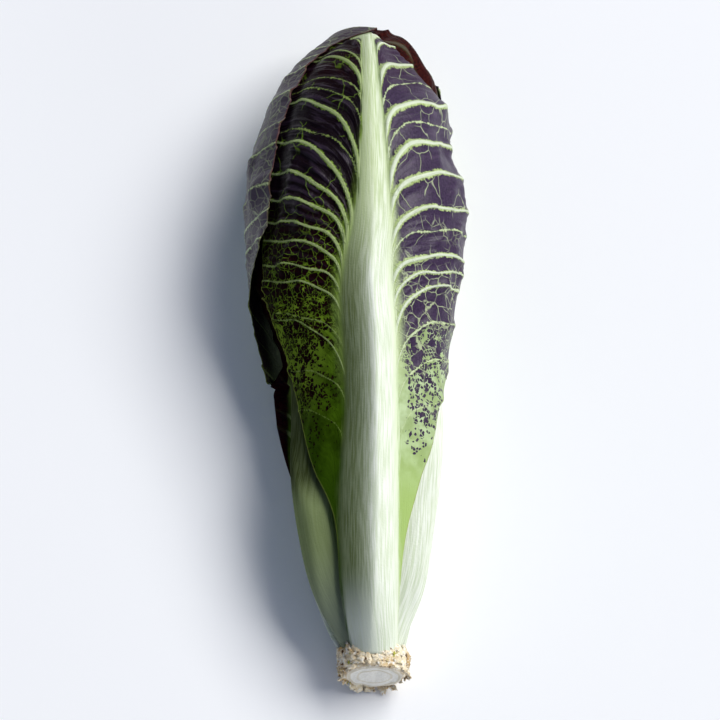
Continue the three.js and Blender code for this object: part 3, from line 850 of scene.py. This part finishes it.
# the last 0.7 mm of the margin is yellowish, and brown on the outermost leaf's lip
rim = add("MULTIPLY", add("Step", run, -90, -55), add("MAXIMUM", add("Step", run, 50, 10), lip))
rim_colour = add("Blend", lip, tint("#93a04a"), tint("#5d3226"))
colour = add("Blend", add("MULTIPLY", add("Step", edge, 0.0, 0.7, 0.75, 0.0), rim), colour, rim_colour)
# the inner side shows only where a margin lifts; past the midrib it is painted near-black, as shade
inner_colour = add("Blend", add("Step", ratio, 0.7, 1.3), tint("#b7bf8c"), tint("#1d1216"))
inner_colour = add("Blend", add("MULTIPLY", core, 0.6), inner_colour, tint("#5a6a2c"))
inner_share = add("MULTIPLY", inside, add("Step", run, -40, 0, 0.0, 0.9))
colour = add("Blend", inner_share, colour, inner_colour)
print("Nodes with all colours:", len(LEAF_SKIN.node_tree.nodes))

# %% Bump and shine
height = add("MULTIPLY_ADD", core, 0.6, add("MULTIPLY", line, 0.5))
crumple = add("MULTIPLY", add("MULTIPLY", wrinkle, beside), add("Step", run, -20, 40, 0.3, 1.0))
height = add("MULTIPLY_ADD", crumple, add("MULTIPLY_ADD", shaded_side, 2.4, 0.9), height)
height = add("MULTIPLY_ADD", fibres, 0.3, height)
height = add("MULTIPLY_ADD", frill, 0.3, height)
bump = add("Bump", {"Strength": 0.8, "Distance": 0.4 * MM, "Height": height}, output="Normal")
# leaf wax has an IOR near 1.4; its shine is turned down on the shaded left, most of all low down, and
# nearly gone where the leaf is brown or painted dark as shade
low_left = add("MULTIPLY", shaded_side, add("Step", run, 60, 5))
bend_light = add("MULTIPLY_ADD", low_left, -0.2, 1.36)
dull = add("MULTIPLY_ADD", brown_and_painted_shade, -0.92, 1.0)
gloss = add("MULTIPLY", add("MULTIPLY_ADD", shaded_side, -0.34, 0.5), dull)
gloss = add("MULTIPLY", gloss, add("MULTIPLY_ADD", low_left, -0.85, 1.0))
shiny_crest = add("MULTIPLY", add("Step", wrinkle, 0.5, 0.66), add("Step", run, 5, 50))
gloss = add("MULTIPLY_ADD", shiny_crest, add("MULTIPLY", shaded_side, 0.4), gloss)
skin = add("BsdfPrincipled", {"Base Color": colour, "Roughness": 0.38, "Normal": bump,
                              "IOR": bend_light, "Specular IOR Level": gloss})
add("OutputMaterial", {"Surface": skin})
print("Nodes of the leaf's skin:", len(LEAF_SKIN.node_tree.nodes))

# %% Grow every leaf
def put(name, data):
    """Make an object of some data and show it in the scene."""
    thing = bpy.data.objects.new(name, data)
    bpy.context.collection.objects.link(thing)
    return thing


triangles = 0
for leaf in OUTER + INNER:
    mesh = grow(leaf)
    mesh.shade_smooth()
    mesh.materials.append(LEAF_SKIN)
    piece = put(leaf.name + "_grown", mesh)
    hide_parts(leaf.name)
    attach(piece, "root")
    triangles += sum(len(face.vertices) - 2 for face in mesh.polygons)
print("Leaf triangles:", triangles)

# %% [markdown]
# ## The stem
# The stem is the root's top, cut through with a knife when the head was picked. Its core is a turned
# shape, so one outline spun about the head's axis makes it, with lumps and saw marks added. Round
# the cut stands a collar of old leaf bases that tore off. It could be one rough ring, but torn
# tissue has layers and gaps that catch the light, so it is many thin curved scraps in four rings.

# %% Spin the stem
STEM_PROFILE = [  # radius, y, from the middle of the cut face round to the buried point
    (0.0, -117.0), (2.0, -117.1), (4.0, -117.0), (6.0, -117.3), (7.8, -117.1), (9.3, -117.4),
    (10.5, -117.1), (11.2, -116.5), (11.5, -115.3), (11.6, -113.0), (11.5, -110.5), (10.8, -108.0),
    (8.0, -104.0), (5.6, -98.0), (3.6, -80.0), (0.0, -66.0)]
STEM_TILT, FLAKE = math.radians(10), 0.35  # the cut leans, and a scrap is this thick


def spin_stem(work):
    """The stem as a turned solid that stands on the axis of the head, with y along z."""
    corners = [work.verts.new((radius, 0, y)) for radius, y in STEM_PROFILE]
    edges = [work.edges.new(pair) for pair in zip(corners, corners[1:])]
    bmesh.ops.spin(work, geom=corners + edges, cent=(0, 0, 0), axis=(0, 0, 1), angle=2 * math.pi,
                   steps=72, use_merge=True)
    bmesh.ops.remove_doubles(work, verts=work.verts[:], dist=0.001)
    bmesh.ops.subdivide_edges(work, edges=work.edges[:], cuts=1, use_grid_fill=True)
    for vert in work.verts:
        turn = math.atan2(vert.co.y, vert.co.x)
        lump = float(ripple(turn * 11, vert.co.z, 2.6, 210))
        around = 1 + 0.035 * lump * min(math.hypot(vert.co.x, vert.co.y) / 9, 1)
        saw_mark = float(ripple(vert.co.x, vert.co.y, 3.2, 211))
        vert.co = (vert.co.x * around, vert.co.y * around, vert.co.z + 0.16 * saw_mark)


print("The cut is", 2 * max(radius for radius, _ in STEM_PROFILE), "mm wide")


# %% Torn flakes round the collar
def add_flake(work, turn, y, radius, length, width, flare, luck):
    """A thin torn scrap of old leaf base. Flare lifts its free end off the collar."""
    flat = bmesh.ops.create_grid(work, x_segments=6, y_segments=7, size=1)["verts"]
    faces = list({face for vert in flat for face in vert.link_faces})
    grown = bmesh.ops.solidify(work, geom=faces, thickness=2 * SHEET)["geom"]
    made = set(flat) | {item for item in grown if isinstance(item, bmesh.types.BMVert)}
    ends, sides = luck.normal(0, 0.16, 7), luck.normal(0, 0.13, 8)
    crumple = luck.normal(0, 0.22, (7, 8))
    for vert in made:
        u, v = vert.co.x, vert.co.y
        column, row = round((u + 1) * 3) % 7, round((v + 1) * 3.5) % 8
        half = width / 2 * (1 - 0.3 * abs(v) + sides[row])
        reach = length / 2 * (v + ends[column] * abs(v))
        lift = flare * max(v, 0) ** 2 + crumple[column, row] - 0.5 * u * u
        lift = lift + FLAKE * (abs(vert.co.z) > SHEET)
        spot = turn + u * half / radius
        vert.co = ((radius + lift) * math.cos(spot), (radius + lift) * math.sin(spot), y + reach)
    if length > 0:  # it comes out inside out; one that hangs down over the cut is mirrored, so isn't
        bmesh.ops.reverse_faces(work, faces=list({face for vert in made for face in vert.link_faces}))


def add_flakes(work, luck):
    """Four rings of scraps and a few larger ones that hang over the cut."""
    for ring, (y, radius, count, length, flare) in enumerate([
            (-109.6, 12.0, 32, 3.8, -0.4), (-111.8, 12.1, 26, 3.8, 0.1), (-113.9, 12.0, 22, 3.4, 0.3),
            (-115.4, 11.8, 20, -2.6, 0.4)]):
        for item in range(count):
            turn = 2 * math.pi * (item + luck.uniform(-0.35, 0.35)) / count + ring * 0.4
            add_flake(work, turn, y + luck.normal(0, 0.7), radius + luck.normal(0, 0.3),
                      length * luck.uniform(0.5, 1.5), luck.uniform(2.0, 6.4), flare, luck)
    for turn, length in ((-2.1, 5.0), (-1.75, 4.0), (-1.3, 5.6), (-0.95, 4.2), (0.35, 3.2), (3.3, 3.6)):
        add_flake(work, turn, -116.2, 11.2, -length, luck.uniform(3.0, 4.6), 1.6, luck)


print("A scrap is", FLAKE, "mm thick")


# %% Lay the stem along the head
def stem_mesh():
    """Join stem and flakes, lay them along the head, and keep radius, y and bark for the paint."""
    luck = np.random.default_rng(77)
    body, scraps = bmesh.new(), bmesh.new()
    spin_stem(body)
    bmesh.ops.recalc_face_normals(body, faces=body.faces[:])
    bark_from = len(body.verts)
    add_flakes(scraps, luck)
    mesh = bpy.data.meshes.new("stem_grown")
    scraps.to_mesh(mesh)
    body.from_mesh(mesh)
    body.to_mesh(mesh)
    body.free()
    scraps.free()
    flat = np.empty(len(mesh.vertices) * 3)
    mesh.vertices.foreach_get("co", flat)
    x, z, y = flat.reshape(-1, 3).T
    bark = (np.arange(len(x)) >= bark_from).astype(float)
    store(mesh, "ring", (np.hypot(x, z), y, bark))
    _, _, _, _, centre_x, centre_z = section(np.clip(y, -120, 50))
    low = 1 - ease(-117.5, -104, y)
    y = y + math.tan(STEM_TILT) * z * low
    spot = np.stack([x + centre_x, y, np.maximum(z + centre_z, 0.05)], axis=-1)
    mesh.vertices.foreach_set("co", (spot * MM).ravel())
    mesh.flip_normals()
    return mesh


mesh = stem_mesh()
mesh.shade_smooth()
print("Stem triangles:", sum(len(face.vertices) - 2 for face in mesh.polygons))


# %% The stem's flesh and bark
GRAIN, FLECK, PATCH, DRIFT = 900.0, 420.0, 170.0, 90.0  # bumps to a metre: 1, 2, 6 and 11 mm


def stem_flesh():
    """Moist cut flesh is nearly white with faint rings, and looks soft; torn bark is dry, rough and
    tan, with pale threads and dark flecks."""
    material = bpy.data.materials.new("Radicchio stem, cut flesh and dry torn bark")
    add = Paint(material).add
    spot = add("TexCoord", output="Object")
    radius, y, scrap = add("Split", add("Attribute", attribute_name="ring", output="Vector"))
    grain = add("Noise", spot, GRAIN, 4.0)
    patch = add("Noise", spot, PATCH, 4.0)
    fleck = add("Noise", spot, FLECK, 1.0)
    drift = add("Noise", spot, DRIFT, 2.0)
    wobble = add("MULTIPLY_ADD", drift, 2.2, radius)
    tree_ring_from = add("Step", radius, 3.0, 7.5)
    flesh = add("Blend", grain, tint("#ebe8da"), tint("#fbfaf4"))
    tree_ring = add("Step", add("SINE", add("MULTIPLY", wobble, 2.0)), 0.3, 1.0, 0.0, 0.45)
    flesh = add("Blend", add("MULTIPLY", tree_ring, tree_ring_from), flesh, tint("#b9a56c"))
    rind = add("Step", wobble, 10.4, 12.0)
    flesh = add("Blend", rind, flesh, tint("#a8854c"))
    dry = add("Blend", add("Step", patch, 0.35, 0.62), tint("#bf9f68"), tint("#ecdfc0"))
    dry = add("Blend", add("Step", grain, 0.48, 0.68), dry, tint("#f8f5ea"))
    dry = add("Blend", add("Step", fleck, 0.64, 0.7), dry, tint("#a8a838"))
    dry = add("Blend", add("Step", fleck, 0.38, 0.28), dry, tint("#6b4c22"))
    back = add("Step", y, -113.5, -110.0)
    bark = add("MAXIMUM", scrap, add("MAXIMUM", back, rind))
    colour = add("Blend", bark, flesh, dry)
    height = add("ADD", grain, patch)
    bump = add("Bump", {"Strength": 0.8, "Distance": 0.5 * MM, "Height": height}, output="Normal")
    skin = add("BsdfPrincipled", {"Base Color": colour, "Roughness": 0.62, "Normal": bump})
    add("OutputMaterial", {"Surface": skin})
    return material


mesh.materials.append(stem_flesh())
stem = put("stem_grown", mesh)
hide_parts("stem")
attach(stem, "root")
print("Stem nodes:", len(mesh.materials[0].node_tree.nodes))

# %% [markdown]
# ## Floor, light and camera
# The head lies on a matt white board, which has no shine, so that it stays even in every view. One
# wide lamp, high beyond the tip on the right, gives the soft shadow on the left. A small, weak one
# stands low near the stem and lights the cut as a white card would. The room's light is faintly
# blue and grows towards the top, and the camera sees a plain white room. A sun lamp would be
# simpler, but its shadow would be too hard.

# %% Floor
work = bmesh.new()
bmesh.ops.create_grid(work, x_segments=1, y_segments=1, size=3.0)
mesh = bpy.data.meshes.new("floor")
work.to_mesh(mesh)
work.free()
floor = put("floor", mesh)
board = bpy.data.materials.new("Matt white board")
add = Paint(board).add
coat = add("BsdfPrincipled", {"Base Color": tint("#fafbfc"), "Roughness": 1.0, "Specular IOR Level": 0.0})
add("OutputMaterial", {"Surface": coat})
mesh.materials.append(board)
print("Floor:", tuple(floor.dimensions), "m")


# %% Light
def stand(thing, target, turn, height, distance):
    """Put a lamp or camera at a turn (0 at +X) and height in degrees from a target, facing it."""
    turn, height = math.radians(turn), math.radians(height)
    way = Vector((math.cos(height) * math.cos(turn), math.cos(height) * math.sin(turn), math.sin(height)))
    thing.location = target + way * distance
    thing.rotation_mode = "QUATERNION"
    thing.rotation_quaternion = way.to_track_quat("Z", "Y")


def lamp(name, width, length, power, colour):
    """A soft rectangular lamp."""
    data = bpy.data.lights.new(name, "AREA")
    data.shape, data.size, data.size_y, data.energy = "RECTANGLE", width, length, power
    data.color = colour
    return put(name, data)


MIDDLE = Vector((0, 0, 0))
key = lamp("key", width=7.5, length=4.8, power=955, colour=(1.0, 0.985, 0.96))
stand(key, MIDDLE, turn=34, height=47, distance=9.0)
card = lamp("white card", width=3.0, length=1.6, power=56, colour=(1.0, 1.0, 1.0))
stand(card, MIDDLE, turn=-48, height=14, distance=5.0)

world = bpy.data.worlds.new("studio")
bpy.context.scene.world = world
add = Paint(world).add
_, _, up = add("Split", add("TexCoord", output="Generated"))
brighter_above = add("MapRange", up, 0.0, 0.9, 0.05, 0.36)
fill = add("Background", {"Color": tint("#b9c8ea"), "Strength": brighter_above})
sky = add("Background", {"Color": tint("#eef2fa"), "Strength": 1.0})
seen = add("LightPath", output="Is Camera Ray")
add("OutputWorld", {"Surface": add("MixShader", seen, fill, sky)})
print("Lamps:", ", ".join(light.name for light in bpy.data.lights))

# %% Camera
AIM = Vector((0.0019, -0.0053, 0.027))
camera_data = bpy.data.cameras.new("camera")
camera_data.sensor_width, camera_data.lens = 36, 168.2
camera = put("camera", camera_data)
stand(camera, AIM, turn=-90, height=75, distance=1.2)
bpy.context.scene.camera = camera
bpy.context.scene.view_settings.view_transform = "Standard"
print("Camera at", tuple(round(c, 3) for c in camera.location), "m")
